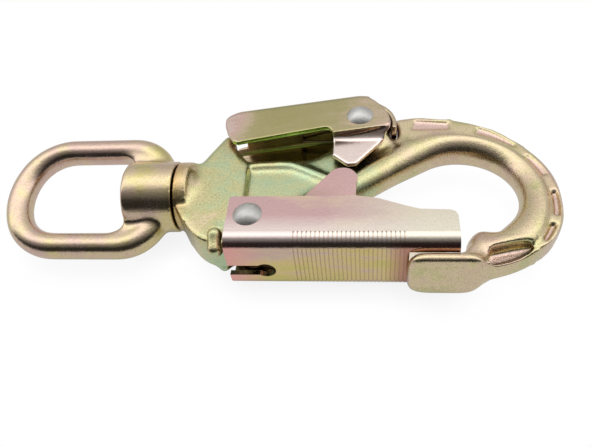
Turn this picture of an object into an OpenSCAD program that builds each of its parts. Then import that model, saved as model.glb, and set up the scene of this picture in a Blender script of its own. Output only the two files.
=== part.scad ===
// Swivel snap hook with a double-action gate, lying on its side.
// X runs from the eye to the bow, +Y is the spine side, and Z is the thickness.
// The origin is the middle of the eye's window, on the swivel axis.

/* [Swivel eye] */
// Diameter of the eye's round bar
eye_bar_d = 10.6; // [9:0.2:12]
// Half height of the eye, from the axis to the bar's middle
eye_half = 21.6; // [20:0.2:26]
// Length of the eye's window along the axis
window_len = 41.8; // [38:0.2:60]
// Radius of the eye's two rear corners, at the bar's middle
eye_corner_r = 18.4; // [14:0.2:19]
// Radius of the eye's rear bow, at the bar's middle
eye_bow_r = 26; // [25:0.5:60]
// Angle that the eye is turned about the swivel axis, at rest
eye_tilt = 12.6; // [0:0.2:30]
// Radius at which the bars turn in to the barrel
shoulder_r = 14; // [12:0.5:15]
// Diameter of the barrel
barrel_d = 28; // [26:0.5:30]
// Length of the barrel
barrel_len = 20.2; // [18:0.2:24]
// Diameter of the swivel stud
stud_d = 12; // [10:0.5:14]
// Diameter of the head that is formed on the stud
stud_head_d = 19; // [17:0.5:22]
// Thickness of the stud's head
stud_head_t = 4; // [3:0.5:5]
// Depth of the stud's head below the barrel's end
head_in = 0.6; // [0.4:0.2:2]
// Gap between the barrel and the parts on both ends of it
swivel_gap = 0.5; // [0.3:0.1:0.8]

/* [Forged body] */
// Thickness of the collar behind the barrel
collar_t = 5.2; // [4:0.2:7]
// Half thickness of the shoulder plate behind the collar
shield_half = 8; // [7.4:0.2:8.4]
// Half thickness of the web between the ribs
web_half = 4.4; // [3.6:0.2:5]
// Half thickness of the hubs around the pivots
hub_half = 6.6; // [6.2:0.1:6.7]
// Radius of the round bar between the hubs and the bow
bar_r = 6.6; // [6:0.1:6.7]
// Radius of the bow's round bar
bow_bar_r = 7.4; // [6.8:0.1:7.8]
// Radius of the bow, at the bar's middle
bow_r = 27.5; // [26:0.25:28]
// Depth of the recesses along the bow's rim
panel_depth = 1; // [0.4:0.1:1.4]
// Depth of the long recess beside the nose
nose_pocket_depth = 2.6; // [1.6:0.2:3.2]
// Half width of the nose's cross head
nose_half = 10.2; // [9.5:0.1:12.5]
// Gap between the closed gate and the nose's cross head
nose_gap = 0.6; // [0.3:0.1:1]
// Thickness of the nose's cross head
nose_t = 4; // [3:0.25:5]
// Half thickness of the nose's stem, between the gate's flanges
stem_half = 7.6; // [6:0.2:8]

/* [Gate] */
// Half width of the gate's channel
gate_half = 13.1; // [12.4:0.1:13.4]
// Thickness of the gate's and the lever's sheet
sheet_t = 2; // [1.6:0.1:2.2]
// Outer radius of the gate's folds
gate_fold_r = 5.5; // [4:0.25:6.5]
// Length of the gate
gate_len = 80.2; // [79:0.2:80.6]
// Distance from the gate's pivot to its outer face
gate_drop = 13.4; // [13:0.1:13.8]
// Distance from the gate's pivot to its inner edge, beside the pivot
gate_rise = 8.3; // [7.5:0.1:9]
// Radius of the locking ear's round top
ear_r = 5.6; // [5.2:0.1:5.8]
// Width of the slot in the gate's face
slot_w = 5.6; // [4.4:0.2:7]
// Length of the slot in the gate's face
slot_len = 17.5; // [12:0.5:20]
// Number of grip grooves across the gate
groove_count = 26; // [10:1:26]
// Distance between two grip grooves
groove_pitch = 1.5; // [1.2:0.05:1.5]
// Depth of the grip grooves
groove_depth = 0.3; // [0.1:0.05:0.5]

/* [Lock lever] */
// Distance from the lever's pivot to its outer face
lever_r = 14.6; // [14.2:0.1:14.8]
// Length of the lever's arm, from the pivot to its thumb end
lever_arm = 54.5; // [50:0.5:55]
// Tilt of the lever's arm from the X axis
lever_tilt = 9.5; // [8:0.25:10]
// Outer radius of the lever's folds
lever_fold_r = 4; // [3:0.25:5]
// Angle below the X axis at which the lever's cover ends
lever_wrap = 12; // [0:1:16]

/* [Rivets and springs] */
// Diameter of both pivot rivets
rivet_d = 7; // [6:0.1:7.4]
// Diameter of the rivets' heads
rivet_head_d = 10.5; // [9.5:0.1:12]
// Height of the rivets' domed heads
rivet_head_h = 2.4; // [1.8:0.1:2.8]
// Clearance between a rivet or stud and its bore
run_clear = 0.06; // [0.02:0.01:0.1]
// Diameter of the spring wire
wire_d = 1.2; // [1:0.1:1.4]
// Turns in each spring coil
coil_turns = 2; // [1:1:2]

/* [Hidden] */
$fn = 48;
tiny = 0.01;
eye_bar_r = eye_bar_d / 2;
eye_turn = asin((eye_half - eye_corner_r) / (eye_bow_r - eye_corner_r));
barrel_x = window_len / 2;
collar_x = barrel_x + barrel_len + swivel_gap;
// Gap between parts that pass or meet each other
seat_gap = 0.3;
// The eye's straight bars run this far into its bends
lap = 0.5;
// The pivots, measured from the collar's face
gate_pivot = [30.9, -20.2];
lock_pivot = [70.2, 31.2];
// The bow's middle
bow_c = [108.2, -1.6];
gate_x0 = gate_pivot.x - 7.5;
gate_x1 = gate_x0 + gate_len;
gate_face_y = gate_pivot.y - gate_drop;
gate_edge_y = gate_pivot.y + gate_rise;
flange_in = gate_half - sheet_t;
// The lock's plates lie in one layer, inside the flanges
lock_hi = hub_half + 2 * seat_gap + sheet_t;
lock_lo = lock_hi - sheet_t;
hub_r = lever_r - sheet_t - 0.8;
boss_r = rivet_d / 2 + 2.1;
boss_half = flange_in - seat_gap;
rim_half = web_half;
// The nose's cross head lies just outside the gate's face
nose_top_y = gate_face_y - nose_gap;
nose_x0 = gate_x1 - 17;
nose_x1 = bow_c.x + 3.9;
ear_c = gate_pivot + [32.9, 20.4];
web_cut_x = nose_x0 + 0.4;
web_cut_half = stem_half + 0.8;
coil_r = boss_r + wire_d / 2 + 0.4;

// The middle of the edge between the bow's bar and its rim
crease_c = [105, -5];
crease_r = 32.3;
// The bar's straight part is tilted, and the bow turns this far round to the nose
bar_tilt = 35.7;
bow_turn = 80;
bar_top = bow_c + bow_r * [cos(90 + bar_tilt), sin(90 + bar_tilt)];
bar_low = bar_top - 57 * [cos(bar_tilt), sin(bar_tilt)];
// Outer edge of the bow's rim
RIM_EDGE = [[84, 38.6], [93, 39.9], [101, 39], [110, 37.2], [118, 34], [125, 29], [132, 21.5],
            [137.5, 12.5], [141, 3.5], [142.2, -5], [141.8, -12], [140, -18], [136, -24],
            [130, -29.6], [124, -33.2], [118, -35.5], [112, -37]];
// Shoulder plate between the collar and the pivots
SHIELD = [[2, -12.5], [2, 11.5], [7, 10.8], [8.3, 13.2], [9.6, 16], [12.2, 20.8],
          [14, 24.2], [14.9, 26.2], [16, 27], [18.4, 26.6], [19.4, 25.4], [19.7, 20.2], [21.8, 18.6], [24, 15],
          [26.6, 10], [27.6, -12], [27.6, -28.4], [22.2, -28.6], [20.6, -29.2], [18.6, -29.2],
          [17, -28.8], [15.2, -28.1], [13.4, -27.2], [11.6, -25.9], [9.7, -24], [7.7, -21.6],
          [5.6, -18.6], [3.6, -15.2]];
// Web from the shoulder plate to the lock's hub and the bow
WEB_TOP = [[22, 15.4], [44, 15], [52, 16.5], [58, 21], [61, 27]];
WEB_LOW = [[46, -18.5], [38, -24], [32, -28.4], [22, -28.4]];
// Rib from the shoulder plate towards the ear
RIB = [[24, 11.4], [41, 12.2], [48, 9.6], [58, 4]];

function unit(v) = v / norm(v);
function arc(c, r, a0, a1, n = 16) =
    [for (i = [0:n]) c + r * [cos(a0 + (a1 - a0) * i / n), sin(a0 + (a1 - a0) * i / n)]];
// A smooth curve through the points, with n steps between each two
function blend_point(a, b, c, d, t) =
    0.5 * (2 * b + (c - a) * t + (2 * a - 5 * b + 4 * c - d) * t * t
    + (3 * b - a - 3 * c + d) * t * t * t);
function curve(p, n = 4) =
    concat([for (i = [0:len(p) - 2]) for (k = [0:n - 1])
        blend_point(p[max(i - 1, 0)], p[i], p[i + 1], p[min(i + 2, len(p) - 1)], k / n)],
        [p[len(p) - 1]]);
function reversed(p) = [for (i = [len(p) - 1:-1:0]) p[i]];
function heading(p, i) = unit(p[min(i + 1, len(p) - 1)] - p[max(i - 1, 0)]);
// The path moved sideways to its left by d, from step a to step b
function beside(p, d, a, b) =
    [for (i = [a:b]) p[i] + d * [-heading(p, i).y, heading(p, i).x]];

// A round bar along a path of points in space
module swept_bar(path, r, sides) {
    n = len(path);
    rings = [for (i = [0:n - 1])
        let (t = heading(path, i), s = unit(cross([0, 0, 1], t)), w = cross(t, s))
        for (k = [0:sides - 1]) path[i] + r * (cos(360 * k / sides) * s + sin(360 * k / sides) * w)];
    sides_of = [for (i = [0:n - 2]) for (k = [0:sides - 1])
        [i * sides + k, (i + 1) * sides + k,
         (i + 1) * sides + (k + 1) % sides, i * sides + (k + 1) % sides]];
    polyhedron(rings, concat([[for (k = [0:sides - 1]) k]], sides_of,
        [[for (k = [sides - 1:-1:0]) (n - 1) * sides + k]]));
}

// A slab of the outline, from -half to half
module slab(points, half) {
    translate([0, 0, -half]) linear_extrude(2 * half) polygon(points);
}

module along_x(len, r) {
    rotate([0, 90, 0]) cylinder(h = len, r = r);
}

module both_sides() {
    children();
    mirror([0, 0, 1]) children();
}

module hole(at, r, half = 40) {
    translate([at.x, at.y, -half]) cylinder(h = 2 * half, r = r);
}

// The channel's section: open upwards, with rounded lower corners
module channel_section(half, r, depth) {
    translate([-half, r]) square([2 * half, depth - r]);
    translate([r - half, 0]) square([2 * (half - r), r + tiny]);
    for (s = [-1, 1]) translate([s * (half - r), r]) circle(r);
}

module channel_wall(half, r, t, depth) {
    difference() {
        channel_section(half, r, depth);
        translate([0, t]) channel_section(half - t, r - t, depth);
    }
}

module eye_half_bow(side, corner_x) {
    bar_x1 = barrel_x - 1.8;
    translate([corner_x, side, 0]) rotate([0, 0, 90])
        rotate_extrude(angle = 90 - eye_turn) translate([eye_corner_r, 0]) circle(eye_bar_r);
    translate([corner_x - lap, eye_half, 0])
        along_x(bar_x1 - corner_x + 2 * lap, eye_bar_r - 0.03);
    // The shoulder bends in and runs into the barrel
    translate([bar_x1, eye_half - shoulder_r, 0]) rotate([0, 0, 32])
        rotate_extrude(angle = 58) translate([shoulder_r, 0]) circle(eye_bar_r);
    end = [bar_x1, eye_half - shoulder_r] + shoulder_r * [cos(32), sin(32)];
    translate([end.x, end.y, 0]) rotate([0, 0, -58]) translate([-lap, 0, 0])
        along_x(6 + lap, eye_bar_r - 0.03);
    // The gusset fills the corner between the bar and the barrel
    slab(concat([[barrel_x + head_in + stud_head_t + 2, 8], [barrel_x, 12]],
        arc([barrel_x - 4, eye_half - eye_bar_r - 3.8], 4, 0, 90, 8),
        [[barrel_x - 4, eye_half - 2], [bar_x1, eye_half - 2], [end.x, end.y]]),
        eye_bar_r * 0.8);
}

module swivel_eye() {
    side = eye_half - eye_corner_r;
    bow_x = -barrel_x - eye_bar_r + eye_bow_r;
    corner_x = bow_x - (eye_bow_r - eye_corner_r) * cos(eye_turn);
    bore_x = barrel_x + head_in + stud_head_t + swivel_gap;
    color("#c8b48c") rotate([eye_tilt, 0, 0]) difference() {
        union() {
            translate([barrel_x, 0, 0]) along_x(barrel_len, barrel_d / 2);
            translate([bow_x, 0, 0]) rotate([0, 0, 180 - eye_turn - lap])
                rotate_extrude(angle = 2 * (eye_turn + lap)) translate([eye_bow_r, 0])
                circle(eye_bar_r - 0.03);
            eye_half_bow(side, corner_x);
            mirror([0, 1, 0]) eye_half_bow(side, corner_x);
        }
        translate([bore_x - 1, 0, 0]) along_x(barrel_len, stud_d / 2 + run_clear);
        translate([barrel_x - 8, 0, 0]) along_x(bore_x - barrel_x + 8, stud_head_d / 2 + swivel_gap);
    }
}

module collar_and_stud() {
    along_x(collar_t, barrel_d / 2 - 0.4);
    translate([collar_t - tiny, 0, 0]) rotate([0, 90, 0])
        cylinder(h = 4, r1 = barrel_d / 2 - 1.6, r2 = shield_half);
    head_x = head_in - swivel_gap - barrel_len;
    translate([head_x + 1, 0, 0]) along_x(-head_x, stud_d / 2);
    translate([head_x, 0, 0]) rotate([0, 90, 0])
        cylinder(h = stud_head_t, r1 = stud_head_d / 2 - 1.2, r2 = stud_head_d / 2);
}

// The bow: a straight bar that widens, a round bend with a stepped outer side, and a blunt end
module bow_bar() {
    taper = 14;
    difference() {
        translate([bow_c.x, bow_c.y, 0]) rotate([0, 0, -bow_turn])
            rotate_extrude(angle = 90 + bar_tilt + bow_turn)
            translate([bow_r, 0]) circle(bow_bar_r);
        both_sides() translate([crease_c.x, crease_c.y, 0]) rotate_extrude()
            polygon([[crease_r - 1.5, 9], [crease_r, rim_half - 0.4],
                     [50, rim_half - 0.4], [50, 9]]);
    }
    translate([bar_top.x, bar_top.y, 0]) rotate([0, 0, bar_tilt]) rotate([0, -90, 0]) {
        cylinder(h = taper, r1 = bow_bar_r, r2 = bar_r);
        translate([0, 0, taper]) cylinder(h = 57 - taper, r = bar_r);
    }
    translate(concat(bow_c + bow_r * [cos(bow_turn), -sin(bow_turn)], [0]))
        translate([0.6, 1.5, 0]) sphere(bow_bar_r - 0.5);
}

module nose() {
    // The stem stands in the gate's channel, on the cross head outside it
    stem_y1 = gate_face_y + sheet_t + 0.6;
    slab([[nose_x0 + 2, nose_top_y - nose_t / 2], [nose_x0 + 2, stem_y1 - 0.8],
          [nose_x0 + 3, stem_y1], [nose_x1 - 6, stem_y1], [nose_x1 - 5, stem_y1 + 3],
          [nose_x1 + 2, stem_y1 + 3], [nose_x1 + 2, nose_top_y - nose_t / 2]], stem_half - 1.4);
    corner = 5;
    cx0 = nose_x0 + corner;
    cz = nose_half - corner;
    translate([0, nose_top_y, 0]) rotate([90, 0, 0]) linear_extrude(nose_t)
        polygon(concat(arc([cx0, cz], corner, 180, 90, 8), arc([nose_x1 - corner, cz], corner, 90, 0, 8),
            arc([nose_x1 - corner, -cz], corner, 0, -90, 8), arc([cx0, -cz], corner, -90, -180, 8)));
}

// A rounded rib on each side guards the gate's rear end; the far one stops short of the front
module guard_lugs() {
    lug_r = 2.2;
    for (side = [1, -1]) {
        low = [gate_x0 - seat_gap - lug_r - 0.6, side > 0 ? -31 : -28.6,
               side * (shield_half - (side > 0 ? 3.1 : 0.6))];
        top = [low.x - 0.3, -26.6, side * (shield_half + 2)];
        translate(low) sphere(lug_r + 0.1);
        translate(top) sphere(lug_r + 0.1);
        translate(low) rotate([0, acos((top.z - low.z) / norm(top - low)), atan2(top.y - low.y, top.x - low.x)])
            cylinder(h = norm(top - low), r = lug_r);
    }
}

// A recess in both faces of the rim, down to floor_z
module recess(points, floor_z) {
    both_sides() translate([0, 0, floor_z]) linear_extrude(20) polygon(points);
}

// A recess between two angles, from radius r0 to radius r1 at the start and r2 at the end
function rim_field(a0, a1, r0, r1, r2) =
    concat(arc(crease_c, r0, a0, a1, 6),
        [for (i = [6:-1:0]) crease_c + (r1 + (r2 - r1) * i / 6)
            * [cos(a0 + (a1 - a0) * i / 6), sin(a0 + (a1 - a0) * i / 6)]]);

module rim_and_web() {
    slab(concat(WEB_TOP, [lock_pivot], curve(RIM_EDGE), arc(bow_c, bow_r, -78, 90 + bar_tilt, 30),
        [bar_low], WEB_LOW), web_half);
}

module hook_body() {
    panel_z = rim_half - panel_depth;
    color("#bdb78a") translate([collar_x, 0, 0]) difference() {
        union() {
            difference() {
                union() {
                    collar_and_stud();
                    slab(SHIELD, shield_half);
                    rim_and_web();
                    bow_bar();
                    slab(concat(beside(curve(RIB), 1.6, 0, 12),
                        reversed(beside(curve(RIB), -1.6, 0, 12))), bar_r - 0.4);
                    nose();
                    guard_lugs();
                }
                // The lever's cover swings round the hub here
                translate([lock_pivot.x, lock_pivot.y, -50]) difference() {
                    cylinder(h = 100, r = lever_r + 2 * seat_gap);
                    translate([0, 0, -1]) linear_extrude(102)
                        polygon([[0, 4], [-30, -12], [-30, -40], [30, -40], [30, -14]]);
                }
                // Room for the spring coils beside the boss
                both_sides() translate([gate_pivot.x, gate_pivot.y, hub_half - 0.2])
                    cylinder(h = 20, r = coil_r + wire_d);
                // The gate's rear corner swings past here
                intersection() {
                    hole(gate_pivot, norm([7.5, gate_drop]) + seat_gap);
                    translate([gate_x0 - seat_gap, gate_face_y - 5, -50])
                        cube([30, 5 + sheet_t + seat_gap, 100]);
                }
                recess([[90.5, 31.6], [106.2, 31.6], [106.2, 36.2], [92, 38]], panel_z);
                recess(rim_field(73, 46, 35.2, 39.8, 36.9), panel_z);
                recess(rim_field(37, 17, 33.7, 36.1, 35.9), panel_z);
                recess(rim_field(5, -15, 33.6, 36.3, 36.4), panel_z);
                recess(rim_field(-21, -36, 33.2, 35.8, 35.2), panel_z);
                recess([[112.9, -35.6], [112.7, -32.6], [114.4, -29.6], [121.5, -27.7], [127.4, -26.4],
                        [128.8, -27.6], [127, -30.4], [120.6, -33.6]], rim_half - nose_pocket_depth);
            }
            hole(lock_pivot, hub_r, hub_half);
            hole(lock_pivot, boss_r, boss_half);
            hole(gate_pivot, boss_r + 3.5, hub_half);
            hole(gate_pivot, boss_r, boss_half);
        }
        hole(gate_pivot, rivet_d / 2 + run_clear / 3);
        hole(lock_pivot, rivet_d / 2 + run_clear / 3);
    }
}

module gate_outline() {
    polygon([[gate_x0, gate_face_y - 1], [gate_x0, gate_edge_y - 1], [gate_x0 + 1, gate_edge_y],
             [69, gate_edge_y], [77, gate_edge_y - 1.4], [86, gate_edge_y - 4.8],
             [91, gate_edge_y - 6.4], [gate_x1 - 2.6, gate_edge_y - 6.8],
             [gate_x1 - 0.8, gate_edge_y - 7.6], [gate_x1, gate_edge_y - 9.4],
             [gate_x1, gate_face_y - 1]]);
}

module ear_side() {
    ear_y0 = gate_edge_y - 2.2;
    translate([0, 0, lock_lo]) linear_extrude(sheet_t) {
        translate(ear_c) circle(ear_r);
        polygon([[ear_c.x - 18, ear_y0], ear_c + ear_r * [cos(137), sin(137)],
                 ear_c + ear_r * [cos(20), sin(20)], [ear_c.x + 5, ear_y0]]);
    }
    // The sheet steps inwards behind the flange's edge
    translate([ear_c.x - 17, 0, 0]) rotate([90, 0, 90]) linear_extrude(22)
        polygon([[ear_y0 - 4, flange_in + tiny], [ear_y0 - 0.6, lock_lo], [ear_y0 + 1, lock_lo],
                 [ear_y0 + 1, lock_hi], [ear_y0 - 0.1, lock_hi], [ear_y0 - 1, flange_in + tiny]]);
}

module gate() {
    depth = gate_rise + gate_drop + 1;
    slot_z = -2.4;
    groove_x0 = gate_x0 + 24.5;
    color("#cdb3a0") translate([collar_x, 0, 0]) difference() {
        union() {
            intersection() {
                translate([gate_x0, gate_face_y, 0]) rotate([0, 90, 0]) linear_extrude(gate_len)
                    channel_wall(gate_half, gate_fold_r, sheet_t, depth);
                translate([0, 0, -50]) linear_extrude(100) gate_outline();
            }
            both_sides() ear_side();
        }
        hole(gate_pivot, rivet_d / 2 + run_clear);
        // The slot in the face, open at the rear, with a wider round end
        translate([gate_x0 - 1, gate_face_y - 1, slot_z - slot_w / 2])
            cube([slot_len - slot_w / 2, sheet_t + 2, slot_w]);
        translate([gate_x0 + slot_len - slot_w / 2 - 1.2, gate_face_y + sheet_t + 1, slot_z])
            rotate([90, 0, 0]) cylinder(h = sheet_t + 2, r = slot_w / 2 + 0.9);
        // The face is open at the nose, where the stem stands
        translate([web_cut_x, gate_face_y - 1, -web_cut_half])
            cube([40, sheet_t + 3, 2 * web_cut_half]);
        // Grip grooves run over the face and its folds
        for (i = [0:groove_count - 1])
            translate([groove_x0 + i * groove_pitch - 0.2, gate_face_y, 0])
                rotate([0, 90, 0]) linear_extrude(0.4) difference() {
                    translate([-gate_half - 1, -1]) square([2 * gate_half + 2, gate_fold_r + 1]);
                    translate([0, groove_depth])
                        channel_section(gate_half - groove_depth, gate_fold_r - groove_depth, depth);
                }
    }
}

module rivet(at) {
    dome_r = (pow(rivet_head_d / 2, 2) + pow(rivet_head_h, 2)) / (2 * rivet_head_h);
    color("#c9c9c4") translate([collar_x + at.x, at.y, 0]) {
        seat = gate_half + run_clear;
        translate([0, 0, -seat - 0.5]) cylinder(h = 2 * seat + 1, r = rivet_d / 2);
        both_sides() intersection() {
            translate([0, 0, seat + rivet_head_h - dome_r]) sphere(dome_r);
            translate([0, 0, seat]) cylinder(h = 10, r = rivet_head_d / 2);
        }
    }
}

module gate_rivet() rivet(gate_pivot);

module lock_rivet() rivet(lock_pivot);

// A double torsion spring: two coils round the boss, their legs, and the bar that joins these
module torsion_spring(at, leg_a, leg_len) {
    z0 = hub_half + wire_d / 2 + 0.15;
    rise = wire_d + 0.05;
    turns = min(coil_turns, floor((boss_half - hub_half - wire_d) / rise) + 0.75);
    steps = 16 * turns;
    coil = [for (i = [0:steps]) let (a = leg_a - 90 - 360 * (turns - i / 16))
        [at.x + coil_r * cos(a), at.y + coil_r * sin(a), z0 + rise * (turns - i / 16)]];
    last = coil[len(coil) - 1];
    tip = last + [cos(leg_a), sin(leg_a), 0] * leg_len;
    both_sides() swept_bar(concat(coil, [tip]), wire_d / 2, 8);
    translate([tip.x, tip.y, -tip.z - wire_d / 2]) cylinder(h = 2 * tip.z + wire_d, r = wire_d / 2 + 0.05);
}

// Its bar rests on the inner side of the gate's face
module gate_spring() {
    leg_a = -15;
    rest = gate_pivot.y - gate_face_y - sheet_t - wire_d / 2 - 0.17;
    color("#8d8468") translate([collar_x, 0, 0])
        torsion_spring(gate_pivot, leg_a, (rest - coil_r * cos(leg_a)) / -sin(leg_a));
}

// Its bar rests on the inner side of the lever's cover
module lock_spring() {
    lean = 168;
    rest = lever_r - sheet_t - wire_d / 2 - 0.17;
    color("#8d8468") translate([collar_x, 0, 0])
        torsion_spring(lock_pivot, lever_tilt + lean, (rest + coil_r * cos(lean)) / sin(lean));
}

module lever_flange() {
    polygon([[-lever_arm + 4.4, lever_r], [-lever_arm + 2.5, lever_r - 0.5],
             [-lever_arm + 1.1, lever_r - 1.6], [-lever_arm + 0.3, lever_r - 3.2], [-lever_arm, 7],
             [-lever_arm + 0.8, 1], [-lever_arm + 3, -4.6], [-lever_arm + 4.8, -6.2],
             [-15.4, -4.2], [-13.4, -4.6], [-12.2, -6.2], [0, -6.2], [0, lever_r]]);
}

// The lock's tail: the sheet steps inwards below the flange and stands over the gate's ear
module tail_side() {
    step = gate_half - lock_hi;
    top = [for (i = [0:12]) [-4.6 - 6.6 * i / 12, gate_half - step * (1 - cos(15 * i)) / 2]];
    low = [for (i = [12:-1:0]) [-5.4 - 6.6 * i / 12, flange_in - step * (1 - cos(15 * i)) / 2]];
    intersection() {
        translate([-30, 0, 0]) rotate([90, 0, 90]) linear_extrude(60)
            polygon(concat([[-4.4, gate_half]], top, [[-30, lock_hi], [-30, lock_lo]], low,
                           [[-4.4, flange_in]]));
        linear_extrude(50)
            polygon([[-10.6, -4.4], [-10.6, -18.2], [-4.7, -23.6], [-1.4, -23.2], [6.6, -13.2],
                     [8.9, -10.6], [10.8, -7.4], [12, -4.4]]);
    }
}

module lever_shell(r_out, half, arm) {
    // The closed outer form of the lever: a round hub and a straight arm, with folded edges
    fold = lever_fold_r - (lever_r - r_out);
    union() {
        rotate_extrude() {
            translate([0, -half]) square([r_out - fold, 2 * half]);
            translate([0, fold - half]) square([r_out, 2 * (half - fold)]);
            for (s = [-1, 1]) translate([r_out - fold, s * (half - fold)]) circle(fold);
        }
        translate([-arm, 0, 0]) rotate([0, 90, 0]) linear_extrude(arm) mirror([0, 1])
            translate([0, -r_out]) channel_section(half, fold, r_out + 20);
    }
}

module lock_lever() {
    color("#c4ad8c") translate([collar_x + lock_pivot.x, lock_pivot.y, 0]) difference() {
        union() {
            rotate([0, 0, lever_tilt]) intersection() {
                difference() {
                    lever_shell(lever_r, gate_half, lever_arm);
                    lever_shell(lever_r - sheet_t, flange_in, lever_arm + 5);
                }
                translate([0, 0, -50]) linear_extrude(100) union() {
                    lever_flange();
                    polygon(concat([[0, -8]], [[-12.2, -8], [-12.2, 0]], [[0, lever_r + 1]],
                        [[lever_r + 1, lever_r + 1]], [[lever_r + 1, -8]]));
                }
            }
            both_sides() tail_side();
        }
        translate([0, 0, -50]) cylinder(h = 100, r = rivet_d / 2 + run_clear);
        // The cover starts a little inside the thumb end, clear of the shoulder plate's tip
        rotate([0, 0, lever_tilt]) translate([-lever_arm - 1, 4, -lever_fold_r - 4.5])
            cube([7.5, 20, 2 * lever_fold_r + 9]);
        // The cover shows beyond the flanges, which are trimmed round the hub
        both_sides() translate([0, 0, gate_half - lever_fold_r - 0.3])
            linear_extrude(lever_fold_r + 2)
                polygon([[3.2, lever_r + 2], [4.2, 11], [8.9, 5.8], [11.4, 0.4], [12.1, -3.4],
                         [11.4, -8], [9.2, -13], [lever_r + 6, -13], [lever_r + 6, lever_r + 2]]);
        // The cover ends beside the bow's rim, but the flanges go on below it
        rotate([0, 0, -lever_wrap]) translate([lever_r - sheet_t - 1.2, -40, -flange_in])
            cube([20, 40, 2 * flange_in]);
    }
}

hook_body();
swivel_eye();
gate();
gate_rivet();
gate_spring();
lock_lever();
lock_rivet();
lock_spring();
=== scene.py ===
# Swivel snap hook: dressed pieces, materials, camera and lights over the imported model.
import bpy, bmesh
import numpy as np
from math import radians, sin, cos, pi
from mathutils import Vector, Matrix

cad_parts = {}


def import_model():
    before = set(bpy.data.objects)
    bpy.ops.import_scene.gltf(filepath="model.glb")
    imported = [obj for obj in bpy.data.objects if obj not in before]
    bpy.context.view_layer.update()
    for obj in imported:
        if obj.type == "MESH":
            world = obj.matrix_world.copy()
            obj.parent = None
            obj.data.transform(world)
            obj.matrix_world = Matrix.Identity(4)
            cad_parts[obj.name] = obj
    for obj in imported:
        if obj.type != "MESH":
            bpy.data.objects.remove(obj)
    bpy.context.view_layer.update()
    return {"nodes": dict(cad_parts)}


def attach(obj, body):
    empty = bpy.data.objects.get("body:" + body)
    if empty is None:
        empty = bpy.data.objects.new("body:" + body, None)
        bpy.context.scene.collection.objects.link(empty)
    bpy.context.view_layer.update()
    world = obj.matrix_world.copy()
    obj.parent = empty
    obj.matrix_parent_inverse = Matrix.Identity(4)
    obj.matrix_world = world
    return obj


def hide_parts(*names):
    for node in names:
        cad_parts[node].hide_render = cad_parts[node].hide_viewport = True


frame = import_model()
MM = 0.001
# From the collar's face, where the camera was fitted, to the middle of the eye's window
SHIFT = 0.0416


def camera():
    """The photograph's view."""
    azimuth, elevation, roll = radians(11.0), radians(50.0), radians(-8.7)
    distance, pan_right, pan_up = 0.2384, 0.04495, -0.01057
    forward = Vector((-sin(azimuth) * cos(elevation), cos(azimuth) * cos(elevation), -sin(elevation)))
    level = Vector((cos(azimuth), sin(azimuth), 0))
    upright = level.cross(forward)
    right = level * cos(roll) + upright * sin(roll)
    up = -level * sin(roll) + upright * cos(roll)
    cam = bpy.data.cameras.new("camera")
    cam.sensor_width = 36
    cam.lens = 36.55
    cam.clip_start = 0.01
    cam.clip_end = 10
    ob = bpy.data.objects.new("camera", cam)
    bpy.context.scene.collection.objects.link(ob)
    place = Matrix((right, up, -forward)).transposed().to_4x4()
    place.translation = -forward * distance + right * pan_right + up * pan_up + Vector((SHIFT, 0, 0))
    ob.matrix_world = place
    bpy.context.scene.camera = ob


class Net:
    """Short names for the shader nodes and links of one tree."""

    def __init__(self, tree):
        self.t = tree
        self.t.nodes.clear()

    def n(self, kind, **kw):
        node = self.t.nodes.new(kind)
        for k, v in kw.items():
            setattr(node, k, v)
        return node

    def link(self, a, b):
        self.t.links.new(a, b)

    def put(self, sock, v):
        if hasattr(v, "links"):
            self.link(v, sock)
        else:
            sock.default_value = v

    def math(self, op, a, b=0.0, clamp=False):
        m = self.n("ShaderNodeMath", operation=op, use_clamp=clamp)
        self.put(m.inputs[0], a)
        self.put(m.inputs[1], b)
        return m.outputs[0]

    def noise(self, vec, scale, detail=2.0, rough=0.5):
        m = self.n("ShaderNodeTexNoise")
        self.link(vec, m.inputs["Vector"])
        m.inputs["Scale"].default_value = scale
        m.inputs["Detail"].default_value = detail
        m.inputs["Roughness"].default_value = rough
        return m.outputs["Fac"]

    def ramp(self, fac, stops):
        m = self.n("ShaderNodeValToRGB")
        cr = m.color_ramp
        cr.elements.remove(cr.elements[1])
        for i, (p, c) in enumerate(stops):
            el = cr.elements[0] if i == 0 else cr.elements.new(p)
            el.position = p
            el.color = (c, c, c, 1) if isinstance(c, (int, float)) else (*c, 1)
        self.link(fac, m.inputs[0])
        return m.outputs[0]

    def map(self, v, a0, a1, b0, b1):
        """What goes from a0 to a1 goes from b0 to b1, and stays there beyond."""
        m = self.n("ShaderNodeMapRange")
        self.put(m.inputs[0], v)
        for i, x in enumerate((a0, a1, b0, b1)):
            m.inputs[i + 1].default_value = x
        return m.outputs[0]

    def mix(self, fac, a, b, blend="MIX"):
        m = self.n("ShaderNodeMix", data_type="RGBA", blend_type=blend)
        self.put(m.inputs[0], fac)
        self.put(m.inputs[6], a)    # the colour inputs and output
        self.put(m.inputs[7], b)
        return m.outputs[2]

    def mix_shader(self, fac, a, b):
        m = self.n("ShaderNodeMixShader")
        self.link(fac, m.inputs[0])
        self.link(a, m.inputs[1])
        self.link(b, m.inputs[2])
        return m.outputs[0]


# The light tent: its level by the angle in degrees about X, from +Y over +Z
TENT = [(-180, 0.6), (-60, 0.6), (0, 0.52), (22, 0.58), (40, 0.74), (51, 0.90), (62, 1.25), (72, 1.55),
        (86, 1.45), (96, 0.95), (106, 0.38), (118, 0.22), (130, 0.15), (138, 0.03), (176, 0.02), (180, 0.10)]


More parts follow.
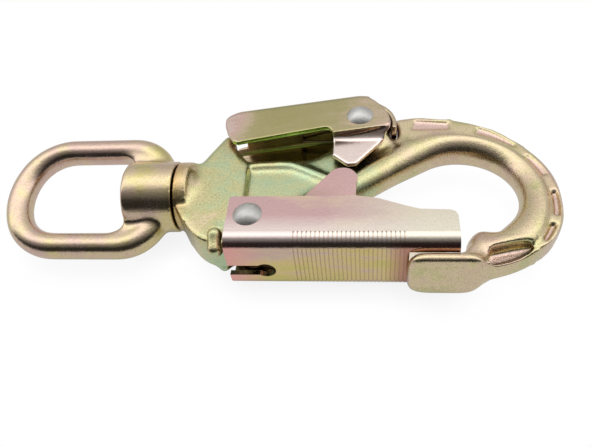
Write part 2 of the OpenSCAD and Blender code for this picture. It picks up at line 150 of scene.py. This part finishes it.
def world():
    """A light tent with a darker zone in front, and a white background for the camera."""
    w = bpy.data.worlds.new("world")
    bpy.context.scene.world = w
    w.use_nodes = True
    g = Net(w.node_tree)
    out = g.n("ShaderNodeOutputWorld")
    tc = g.n("ShaderNodeTexCoord")
    sep = g.n("ShaderNodeSeparateXYZ")
    g.link(tc.outputs["Generated"], sep.inputs[0])
    angle = g.math("ARCTAN2", sep.outputs[2], sep.outputs[1])
    turn = g.map(angle, -pi, pi, 0.0, 1.0)
    tent = g.n("ShaderNodeBackground")
    g.link(g.ramp(turn, [((d + 180) / 360, level) for d, level in TENT]), tent.inputs[0])
    tent.inputs[1].default_value = 1.0
    white = g.n("ShaderNodeBackground")
    white.inputs[0].default_value = (1, 1, 1, 1)
    white.inputs[1].default_value = 1.0
    lp = g.n("ShaderNodeLightPath")
    g.link(g.mix_shader(lp.outputs["Is Camera Ray"], tent.outputs[0], white.outputs[0]), out.inputs[0])


FLOOR_HALF, FLOOR_Z = 8.0, -0.0162    # the hook's lowest point is at z = -0.0156
CONTACT = 0.012                       # how far from the hook its soft shadow reaches


def floor():
    me = bpy.data.meshes.new("floor")
    s, z = FLOOR_HALF, FLOOR_Z
    me.from_pydata([(-s, -s, z), (s, -s, z), (s, s, z), (-s, s, z)], [], [(0, 1, 2, 3)])
    ob = bpy.data.objects.new("floor", me)
    bpy.context.scene.collection.objects.link(ob)
    m = bpy.data.materials.new("floor")
    m.use_nodes = True
    g = Net(m.node_tree)
    out = g.n("ShaderNodeOutputMaterial")
    pale = g.n("ShaderNodeBsdfDiffuse")
    pale.inputs[0].default_value = (0.86, 0.86, 0.86, 1)
    ao = g.n("ShaderNodeAmbientOcclusion", samples=8)
    ao.inputs["Distance"].default_value = CONTACT
    # The camera sees a white floor that keeps the object's soft shadow
    seen = g.n("ShaderNodeEmission")
    g.link(g.map(ao.outputs["AO"], 0.2, 0.9, 0.86, 1.0), seen.inputs[0])
    # Metal sees the same floor, at the level that the soft light gives it
    mirrored = g.n("ShaderNodeEmission")
    g.link(g.map(ao.outputs["AO"], 0.1, 0.9, 0.25, 0.66), mirrored.inputs[0])
    lp = g.n("ShaderNodeLightPath")
    metal = g.math("MAXIMUM", lp.outputs["Is Glossy Ray"], lp.outputs["Is Transmission Ray"])
    unseen = g.mix_shader(metal, pale.outputs[0], mirrored.outputs[0])
    g.link(g.mix_shader(lp.outputs["Is Camera Ray"], unseen, seen.outputs[0]), out.inputs[0])
    me.materials.append(m)


# Sizes of the plating's noises, per metre: large and small drifts of the hue, grain, and a coarser grain
DRIFT_L, DRIFT_S, GRAIN_S, GRAIN_L = 45.0, 190.0, 2300.0, 750.0
SHADE_REACH = 0.004          # how near a wall has to be for the painted shade of recesses and creases
GRAIN_DEPTH = 0.00012


def zinc(name, bands, base, terms=(), drift=1.0, rough=0.28, grain=0.6, speckle=0.25,
         shade_color=(0.16, 0.08, 0.03), tints=(), stretch=1.0):
    """Yellow zinc plating: the film's hue drifts over the surface, with a satin grain and fine speckles;
    painted shade darkens the colour near walls, in recesses and creases.

    bands: the film's colours from hue 0 to 1. A term is (what, from, to, amount): the hue rises by up to
    amount as "what" goes from-to. A tint is (colour, amount, [(what, from, to), ...]), where each range
    fades the tint in. On drawn sheet, stretch makes the drifts run along the piece.
    """
    m = bpy.data.materials.new(name)
    m.use_nodes = True
    g = Net(m.node_tree)
    out = g.n("ShaderNodeOutputMaterial")
    bs = g.n("ShaderNodeBsdfPrincipled")
    g.link(bs.outputs[0], out.inputs[0])
    tc = g.n("ShaderNodeTexCoord")
    obj = tc.outputs["Object"]
    nrm = g.n("ShaderNodeSeparateXYZ")
    g.link(tc.outputs["Normal"], nrm.inputs[0])
    pos = g.n("ShaderNodeSeparateXYZ")
    g.link(obj, pos.inputs[0])
    what = {"x": pos.outputs[0], "y": pos.outputs[1], "z": g.math("ABSOLUTE", pos.outputs[2]),
            "nz": g.math("ABSOLUTE", nrm.outputs[2]), "ny": nrm.outputs[1]}
    mp = g.n("ShaderNodeMapping")
    g.link(obj, mp.inputs[0])
    mp.inputs["Scale"].default_value = (1.0 / stretch, 1.0, 1.0)
    large = g.noise(mp.outputs[0], DRIFT_L, 2.0)
    small = g.noise(mp.outputs[0], DRIFT_S, 3.0, 0.6)
    fine = g.noise(obj, GRAIN_S, 2.0, 0.7)

    def swing(noise, amount):
        return g.math("MULTIPLY", g.math("SUBTRACT", noise, 0.5), amount)

    hue = swing(large, 1.1 * drift)
    hue = g.math("ADD", hue, swing(small, 0.8 * drift))
    hue = g.math("ADD", hue, swing(fine, 0.3))
    for k, a, b, amount in terms:
        hue = g.math("ADD", hue, g.map(what[k], a, b, 0.0, amount))
    hue = g.math("ADD", hue, base, clamp=True)
    col = g.ramp(hue, bands)
    for color, amount, parts in tints:
        fade = amount
        for k, a, b in parts:
            fade = g.math("MULTIPLY", fade, g.map(what[k], a, b, 0.0, 1.0))
        col = g.mix(fade, col, (*color, 1))
    specks = g.ramp(fine, [(0.34, 1.0 - speckle), (0.47, 0.97), (0.56, 1.0), (0.7, 1.0 + 0.3 * speckle)])
    col = g.mix(1.0, col, specks, "MULTIPLY")
    # painted shade: the colour goes towards a dark brown where walls stand near
    ao = g.n("ShaderNodeAmbientOcclusion", samples=6, only_local=False)
    ao.inputs["Distance"].default_value = SHADE_REACH
    shade_fade = g.map(ao.outputs["AO"], 0.15, 0.8, 1.0, 0.0)
    col = g.mix(g.math("MULTIPLY", shade_fade, 0.85), col, (*shade_color, 1))
    g.link(col, bs.inputs["Base Color"])
    bs.inputs["Metallic"].default_value = 1.0
    roughness = g.math("ADD", swing(small, 0.2), rough)
    roughness = g.math("ADD", swing(fine, 0.15), roughness)
    g.link(roughness, bs.inputs["Roughness"])
    height = g.math("ADD", g.math("MULTIPLY", fine, 0.6),
                    g.math("MULTIPLY", g.noise(obj, GRAIN_L, 2.0), 0.6))
    bp = g.n("ShaderNodeBump")
    bp.inputs["Strength"].default_value = grain
    bp.inputs["Distance"].default_value = GRAIN_DEPTH
    g.link(height, bp.inputs["Height"])
    g.link(bp.outputs[0], bs.inputs["Normal"])
    return m


def rivet_steel():
    """Plain steel, worn bright, with a soft unevenness."""
    m = bpy.data.materials.new("rivet_steel_mat")
    m.use_nodes = True
    g = Net(m.node_tree)
    out = g.n("ShaderNodeOutputMaterial")
    bs = g.n("ShaderNodeBsdfPrincipled")
    g.link(bs.outputs[0], out.inputs[0])
    tc = g.n("ShaderNodeTexCoord")
    cloud = g.noise(tc.outputs["Object"], 300.0, 3.0)
    fine = g.noise(tc.outputs["Object"], 1800.0, 2.0)
    col = g.ramp(cloud, [(0.3, (0.54, 0.53, 0.51)), (0.7, (0.72, 0.70, 0.67))])
    g.link(col, bs.inputs["Base Color"])
    bs.inputs["Metallic"].default_value = 1.0
    g.link(g.map(fine, 0.3, 0.7, 0.36, 0.5), bs.inputs["Roughness"])
    bp = g.n("ShaderNodeBump")
    bp.inputs["Strength"].default_value = 0.5
    bp.inputs["Distance"].default_value = 0.00008
    g.link(fine, bp.inputs["Height"])
    g.link(bp.outputs[0], bs.inputs["Normal"])
    return m


def apply_mods(ob):
    dg = bpy.context.evaluated_depsgraph_get()
    me = bpy.data.meshes.new_from_object(ob.evaluated_get(dg))
    old = ob.data
    ob.modifiers.clear()
    ob.data = me
    if old.users == 0:
        bpy.data.meshes.remove(old)


HEAVY = 1.5    # a weight above this asks for the extra rounds


def forged(node, name, voxel, rounds, weight=None, shape=None, more=0):
    """A rounded copy of a CAD node, like a forging, with soft edges and fillets.

    Each round draws every point halfway to the mean of its neighbours, times its weight. weight and shape
    take the points in millimetres.
    """
    src = frame["nodes"][node]
    ob = bpy.data.objects.new(name, src.data.copy())
    bpy.context.scene.collection.objects.link(ob)
    ob.matrix_world = src.matrix_world.copy()
    ob.data.materials.clear()
    md = ob.modifiers.new("remesh", "REMESH")
    md.mode = "VOXEL"
    md.voxel_size = voxel
    apply_mods(ob)
    me = ob.data
    n = len(me.vertices)
    co = np.empty(n * 3)
    me.vertices.foreach_get("co", co)
    co = co.reshape(n, 3)
    ed = np.empty(len(me.edges) * 2, dtype=np.int64)
    me.edges.foreach_get("vertices", ed)
    ed = ed.reshape(-1, 2)
    a = np.r_[ed[:, 0], ed[:, 1]]
    b = np.r_[ed[:, 1], ed[:, 0]]
    deg = np.bincount(a, minlength=n).astype(float)
    w = np.ones(n) if weight is None else weight(co / MM)
    for i in range(rounds + more):
        if i == rounds:
            w = np.where(w > HEAVY, w, 0.0)
        avg = np.stack([np.bincount(a, co[b, k], minlength=n) for k in range(3)], 1) / deg[:, None]
        co = co + (avg - co) * (0.5 * w)[:, None]
    if shape is not None:
        co = shape(co / MM) * MM
    me.vertices.foreach_set("co", co.reshape(-1))
    me.update()
    me.polygons.foreach_set("use_smooth", [True] * len(me.polygons))
    return ob


def dress(node, mat, bevel=0.0):
    ob = frame["nodes"][node]
    ob.data.materials.clear()
    ob.data.materials.append(mat)
    if bevel:
        md = ob.modifiers.new("bevel", "BEVEL")
        md.width = bevel
        md.segments = 2
        md.limit_method = "ANGLE"
        md.angle_limit = radians(40)
        md.harden_normals = False


# The weights and shapes below are in millimetres, in the frame of the part
CREASE = (146.6, -5.0)        # the middle of the bow's rim
NOSE_X = (126, 154.5)
GUARD_X = 61.6                # the guard ribs
SHIELD_HALF = 7.9             # just under half the shoulder plate's thickness
EDGES, ROUND = 0.16, 1.7      # weights that keep edges, and that round the cross head
POCKET_SLOPE = 0.369          # of the nose's pocket, in x and y


def body_weight(p):
    x, y, z = p[:, 0], p[:, 1], np.abs(p[:, 2])
    w = np.ones(len(p))
    w[(x > NOSE_X[0]) & (x < NOSE_X[1]) & (y < -33)] = ROUND
    # the rim's panels and the nose's pocket keep their edges, the rim's outer edge gets round
    r = np.hypot(x - CREASE[0], y - CREASE[1])
    side = z > 2.0
    w[(r > 32.8) & (r < 36.7) & (x > 150) & (y > -28) & side] = EDGES
    w[(r > 34.6) & (r < 40.1) & (x > 153) & (x < 175) & (y > 20) & side] = EDGES
    w[(x > 131.4) & (x < 148.6) & (y > 30.6) & (y < 38) & side] = EDGES
    pocket = (x > 154) & (x < 172) & (y < -25.5) & (y > -35.9 + POCKET_SLOPE * (x - NOSE_X[1]))
    w[pocket & (z > 1.2)] = 0.2
    # the collar is turned, so it stays sharp but for the plate's end beside it
    w[x < 47.5] = 0.12
    w[(x > 43.2) & (x < 50) & (np.hypot(y, z) < 13) & (z < 9.5)] = 1.0
    return w


def body_shape(p):
    """The bow's blunt end, the roots of the guard ribs, the rim's panels and the cross head."""
    q = p.copy()
    x, y, z = p[:, 0], p[:, 1], p[:, 2]
    side, az = np.sign(z), np.abs(z)
    # the blunt end swells, with a slight waist behind it
    for c, s, dx, dy in (((154.2, -20.6), 2.6, -0.4, 0.9), ((159.2, -19.8), 2.2, 0.2, -0.8)):
        f = np.exp(-((x - c[0]) ** 2 + (y - c[1]) ** 2) / (2 * s * s))
        q[:, 0] += dx * f
        q[:, 1] += dy * f
    # the guard ribs' roots are low, the ribs themselves are pieces of their own
    over = np.clip(az - SHIELD_HALF, 0, None) * (np.abs(x - GUARD_X) < 3.6) * (y < -22)
    q[:, 2] -= side * 0.88 * over
    # the panels nearest the nose get crisp walls: their floors lie a little deeper
    r = np.hypot(x - CREASE[0], y - CREASE[1])
    rim = (r > 32.9) & (r < 36.0) & (x > 150) & (y > -28) & (y < 1)
    q[:, 2] -= side * 0.6 * rim * np.clip((4.05 - az) / 0.4, 0, 1) * np.clip((az - 2.2) / 0.8, 0, 1)
    # the cross head, rounder than the rest, keeps its size
    head = np.clip((155 - x) / 6, 0, 1) * np.clip((-32 - y) / 3, 0, 1) * (x > 124)
    q[:, 0] -= 0.7 * head * np.clip((136 - x) / 8, 0, 1)
    q[:, 1] -= 0.35 * head * np.clip((-35 - y) / 2.5, 0, 1)
    q[:, 2] += side * 0.5 * head * np.clip((az - 4) / 5, 0, 1)
    return q


# The lever's own frame: u along the arm from the pivot, v outwards
LOCK, LEVER_TILT = (111.8, 31.2), radians(9.5)
THUMB_U = -46.5               # the thumb end lies beyond this


def lever_shape(p):
    """The thumb end is drawn in and rounded like a spoon."""
    c, s = cos(LEVER_TILT), sin(LEVER_TILT)
    x, y = p[:, 0] - LOCK[0], p[:, 1] - LOCK[1]
    u, v = c * x + s * y, c * y - s * x
    z = p[:, 2].copy()
    d = np.clip(THUMB_U - u, 0, None)
    z -= np.sign(z) * 0.018 * d ** 2 * (np.abs(z) > 6)
    v = v - 0.030 * d ** 2 * np.clip((v - 2) / 10, 0, 1)
    return np.stack([LOCK[0] + c * u - s * v, LOCK[1] + s * u + c * v, z], 1)


def eye_weight(p):
    """The barrel's turned end and bore stay sharp."""
    w = np.ones(len(p))
    r = np.hypot(p[:, 1], p[:, 2])
    w[(p[:, 0] > 40.2) & (r < 15)] = 0.1
    return w


SIDES = 32    # of a guard rib


def capsule(name, p0, p1, r, body_name, mat):
    """A short forged rib with full round ends and a slight waist."""
    p0, p1 = Vector(p0), Vector(p1)
    ax = (p1 - p0).normalized()
    e1 = ax.orthogonal().normalized()
    e2 = ax.cross(e1)
    rings = [(p0 - ax * r * cos(q), r * sin(q)) for q in (radians(a) for a in range(10, 91, 10))]
    rings += [(p0.lerp(p1, t), r * (1 - 0.06 * sin(pi * t))) for t in (0.2, 0.4, 0.6, 0.8)]
    rings += [(p1 + ax * r * cos(q), r * sin(q)) for q in (radians(a) for a in range(90, 9, -10))]
    bm = bmesh.new()
    loops = [[bm.verts.new(c + e1 * rr * cos(2 * pi * i / SIDES) + e2 * rr * sin(2 * pi * i / SIDES))
              for i in range(SIDES)] for c, rr in rings]
    for a, b in zip(loops, loops[1:]):
        for i in range(SIDES):
            bm.faces.new((a[i], a[(i + 1) % SIDES], b[(i + 1) % SIDES], b[i]))
    bm.faces.new(list(reversed(loops[0])))
    bm.faces.new(loops[-1])
    bmesh.ops.recalc_face_normals(bm, faces=bm.faces)
    for fc in bm.faces:
        fc.smooth = True
    me = bpy.data.meshes.new(name)
    bm.to_mesh(me)
    bm.free()
    me.materials.append(mat)
    ob = bpy.data.objects.new(name, me)
    bpy.context.scene.collection.objects.link(ob)
    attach(ob, body_name)
    return ob


camera()
world()
floor()

GREEN, GOLD, TAN = (0.54, 0.66, 0.42), (0.74, 0.64, 0.29), (0.77, 0.62, 0.40)
PINK, MAUVE, OLIVE = (0.74, 0.52, 0.45), (0.66, 0.44, 0.43), (0.48, 0.43, 0.20)
FLAT = ("nz", 0.6, 0.9)            # faces that look along Z

body_mat = zinc(
    "body_zinc_mat",
    [(0.0, GREEN), (0.22, (0.62, 0.66, 0.38)), (0.42, (0.69, 0.63, 0.33)),
     (0.62, (0.81, 0.67, 0.43)), (0.85, (0.80, 0.62, 0.44)), (1.0, PINK)], 0.17,
    # green on the shoulder plate, tan on the bow and at the collar
    [("x", 0.105, 0.135, 0.56), ("nz", 0.9, 0.4, 0.08), ("ny", -0.6, -0.95, -0.22),
     ("x", 0.060, 0.047, 0.28)],
    drift=1.1, rough=0.25, grain=0.7, speckle=0.32,
    # orange by the collar and in the corner below the lever, pink on the floors of the rim's recesses
    tints=[((0.70, 0.40, 0.14), 0.55, [("x", 0.0485, 0.043)]),
           ((0.66, 0.36, 0.12), 0.7, [("x", 0.054, 0.061), ("y", 0.012, 0.022), ("x", 0.066, 0.062)]),
           ((0.92, 0.64, 0.60), 0.75, [("z", 0.0038, 0.0036), ("nz", 0.8, 0.95), ("x", 0.130, 0.131)])])
eye_mat = zinc(
    "eye_zinc_mat",
    [(0.0, GOLD), (0.35, TAN), (0.7, (0.76, 0.56, 0.46)), (1.0, PINK)], 0.55,
    [("x", 0.015, 0.03, -0.35)],
    drift=1.25, rough=0.23, grain=0.5, speckle=0.26)
EAR = ("z", 0.0104, 0.0098)        # the ear is stepped inwards from the gate's side
gate_mat = zinc(
    "gate_zinc_mat",
    [(0.0, (0.72, 0.62, 0.22)), (0.3, (0.80, 0.62, 0.30)), (0.55, (0.74, 0.58, 0.42)),
     (0.8, (0.72, 0.50, 0.44)), (1.0, MAUVE)], 0.2,
    [("nz", 0.3, 0.8, 0.5), ("x", 0.085, 0.066, 0.5), ("x", 0.132, 0.146, 0.3)],
    # the painted shade in the gate's recesses and creases is a paler brown
    drift=1.9, rough=0.2, grain=0.35, speckle=0.12, shade_color=(0.30, 0.20, 0.12), stretch=3.0,
    # paler along the fold as a painted highlight, red at the web's rear end, dark red beside the nose as
    # painted shade, cream at the front, mauve ears, darker on the ears' rear part by the step as painted
    # shade
    tints=[((0.94, 0.84, 0.78), 0.7, [("y", -0.0205, -0.027), FLAT]),
           ((0.95, 0.45, 0.41), 0.8, [("x", 0.080, 0.066), ("ny", -0.6, -0.9)]),
           ((0.52, 0.22, 0.20), 0.8, [("x", 0.1205, 0.1268), ("y", -0.0305, -0.032)]),
           ((0.86, 0.82, 0.66), 0.8, [("x", 0.100, 0.135), FLAT]),
           ((0.74, 0.47, 0.45), 0.75, [EAR, FLAT, ("y", -0.016, -0.012)]),
           ((0.46, 0.33, 0.25), 0.7, [EAR, FLAT, ("x", 0.1070, 0.0950), ("y", -0.003, -0.0105)])])
lever_mat = zinc(
    "lever_zinc_mat",
    [(0.0, OLIVE), (0.35, (0.52, 0.46, 0.24)), (0.6, (0.68, 0.54, 0.38)), (0.85, PINK),
     (1.0, (0.80, 0.62, 0.54))], 0.15,
    [("x", 0.072, 0.058, 0.75), ("x", 0.092, 0.108, 0.4), ("nz", 0.95, 0.6, 0.25)],
    drift=1.1, rough=0.2, grain=0.35, speckle=0.14, stretch=2.5,
    # the sides' lower edges are green, made bright as a painted highlight; the tails pinkish white
    tints=[((0.55, 0.85, 0.16), 0.9, [("ny", -0.35, -0.7), ("z", 0.0095, 0.0105), ("x", 0.104, 0.098)]),
           ((1.0, 0.84, 0.79), 0.9, [("z", 0.0112, 0.0100), ("nz", 0.4, 0.8), ("y", 0.024, 0.022)])])
rivet_mat = rivet_steel()
spring_mat = zinc("spring_mat", [(0.0, (0.24, 0.20, 0.14)), (1.0, (0.34, 0.29, 0.20))], 0.5, rough=0.35)

dress("gate", gate_mat, 0.35 * MM)
for node, mat in (("gate_rivet", rivet_mat), ("lock_rivet", rivet_mat),
                  ("gate_spring", spring_mat), ("lock_spring", spring_mat)):
    dress(node, mat)

VOXEL, SHEET_VOXEL, ROUNDS = ((0.6 * MM, 0.42 * MM, 28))
SHEET_ROUNDS = 4
body = forged("hook_body", "body_forging", VOXEL, ROUNDS, body_weight, body_shape, more=ROUNDS // 3)
body.data.materials.append(body_mat)
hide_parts("hook_body")
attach(body, "hook")
lever = forged("lock_lever", "lever_sheet", SHEET_VOXEL, SHEET_ROUNDS, None, lever_shape)
lever.data.materials.append(lever_mat)
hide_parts("lock_lever")
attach(lever, "lever")
eye = forged("swivel_eye", "eye_forging", VOXEL, ROUNDS, eye_weight)
eye.data.materials.append(eye_mat)
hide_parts("swivel_eye")
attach(eye, "eye")
capsule("guard_rib_near", (0.0611, -0.0310, 0.0066), (0.0608, -0.0263, 0.0088), 0.0027,
        "hook", body_mat)
capsule("guard_rib_far", (0.0617, -0.0248, -0.0078), (0.0614, -0.0240, -0.0096), 0.00235,
        "hook", body_mat)

bpy.context.scene.view_settings.view_transform = "Standard"
